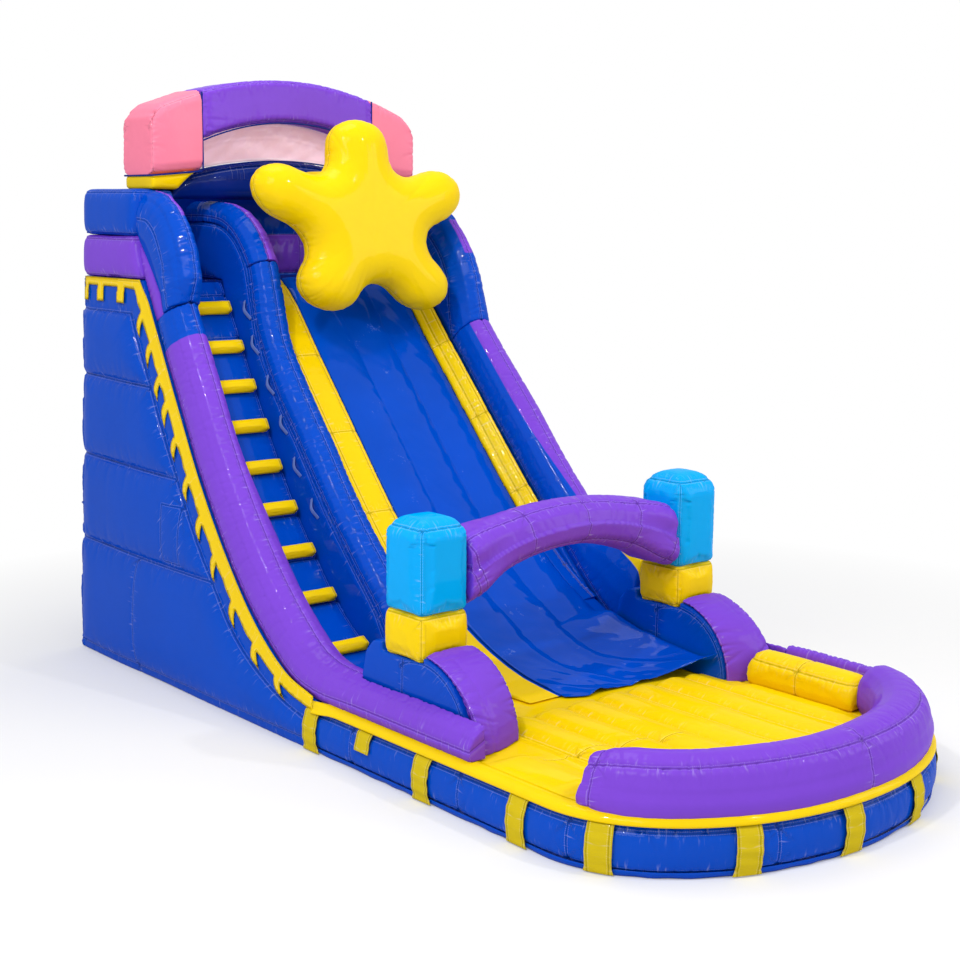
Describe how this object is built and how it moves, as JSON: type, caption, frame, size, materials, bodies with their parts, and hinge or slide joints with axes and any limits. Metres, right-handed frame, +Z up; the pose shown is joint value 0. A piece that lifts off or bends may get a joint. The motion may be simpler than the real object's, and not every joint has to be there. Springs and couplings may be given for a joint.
{
  "type": "inflatable water slide",
  "caption": "Inflatable water slide with a climbing lane, a sliding lane, a landing pool with padded bumpers, a pillared arch and a starfish crown.",
  "frame": {"origin": "on the ground under the middle of the slide, halfway along and across it", "axes": "+Z up; the pool faces -Y and the tower stands at +Y; the climbing lane is on the -X side"},
  "size_m": [3.8464, 8.6263, 5.68],
  "materials": {
    "blue_vinyl": "glossy royal blue PVC-coated fabric",
    "navy_vinyl": "glossy dark blue PVC-coated fabric",
    "purple_vinyl": "glossy purple PVC-coated fabric",
    "yellow_vinyl": "glossy yellow PVC-coated fabric",
    "pink_vinyl": "glossy pink PVC-coated fabric",
    "pale_pink_film": "pale pink translucent film",
    "light_blue_vinyl": "glossy light blue PVC-coated fabric",
    "galvanised_steel": "zinc-plated steel",
    "polyester_webbing": "woven black webbing"
  },
  "bodies": {
    "slide": {"pool_base": "blue_vinyl", "pool_floor": "yellow_vinyl", "front_bumper": "purple_vinyl", "side_bolster": "yellow_vinyl", "left_wall": "blue_vinyl", "left_trim": "yellow_vinyl", "left_wall_purple_band": "purple_vinyl", "left_wall_blue_band": "blue_vinyl", "left_rail": "purple_vinyl", "left_fender_panel": "blue_vinyl", "left_fender": "purple_vinyl", "right_wall": "blue_vinyl", "right_trim": "yellow_vinyl", "right_wall_purple_band": "purple_vinyl", "right_wall_blue_band": "blue_vinyl", "right_rail": "purple_vinyl", "right_fender_panel": "blue_vinyl", "right_fender": "purple_vinyl", "left_rail_shoulder": "purple_vinyl", "left_tower_tube": "blue_vinyl", "right_tower_tube": "blue_vinyl", "back_wall": "blue_vinyl", "platform": "navy_vinyl", "climb_bed": "blue_vinyl", "step_1": "yellow_vinyl", "step_2": "yellow_vinyl", "step_3": "yellow_vinyl", "step_4": "yellow_vinyl", "step_5": "yellow_vinyl", "step_6": "yellow_vinyl", "step_7": "yellow_vinyl", "step_8": "yellow_vinyl", "step_9": "yellow_vinyl", "slide_bed": "blue_vinyl", "slide_strip_left": "yellow_vinyl", "slide_strip_right": "yellow_vinyl", "slide_sheet": "blue_vinyl", "divider_wall": "blue_vinyl", "divider_tube": "blue_vinyl", "divider_cap": "purple_vinyl", "crown_arch": "purple_vinyl", "crown_panel": "pale_pink_film", "crown_block_left": "pink_vinyl", "crown_block_right": "pink_vinyl", "crown_post_left": "yellow_vinyl", "crown_post_right": "yellow_vinyl", "crown_lintel": "navy_vinyl", "star": "yellow_vinyl", "left_pillar_base": "yellow_vinyl", "left_pillar": "light_blue_vinyl", "right_pillar_base": "yellow_vinyl", "right_pillar": "light_blue_vinyl", "pillar_arch": "purple_vinyl", "inflation_sleeve": "blue_vinyl", "anchor_tab_left": "polyester_webbing", "anchor_tab_right": "polyester_webbing", "zip_tape": "polyester_webbing"},
    "left_ring": {"anchor_ring_left": "galvanised_steel"},
    "right_ring": {"anchor_ring_right": "galvanised_steel"},
    "zip_pull": {"zip_slider": "galvanised_steel"}
  },
  "joints": [
    {"name": "left_ring_swing", "type": "hinge", "parent": "slide", "child": "left_ring", "pos_m": [-1.15, 4.1613, 0.135], "axis": [1, 0, 0], "range_deg": [0, 150]},
    {"name": "right_ring_swing", "type": "hinge", "parent": "slide", "child": "right_ring", "pos_m": [1.15, 4.1613, 0.135], "axis": [1, 0, 0], "range_deg": [0, 150]},
    {"name": "zip_travel", "type": "slide", "parent": "slide", "child": "zip_pull", "axis": [1, 0, 0], "range_m": [0, 0.96]}
  ]
}
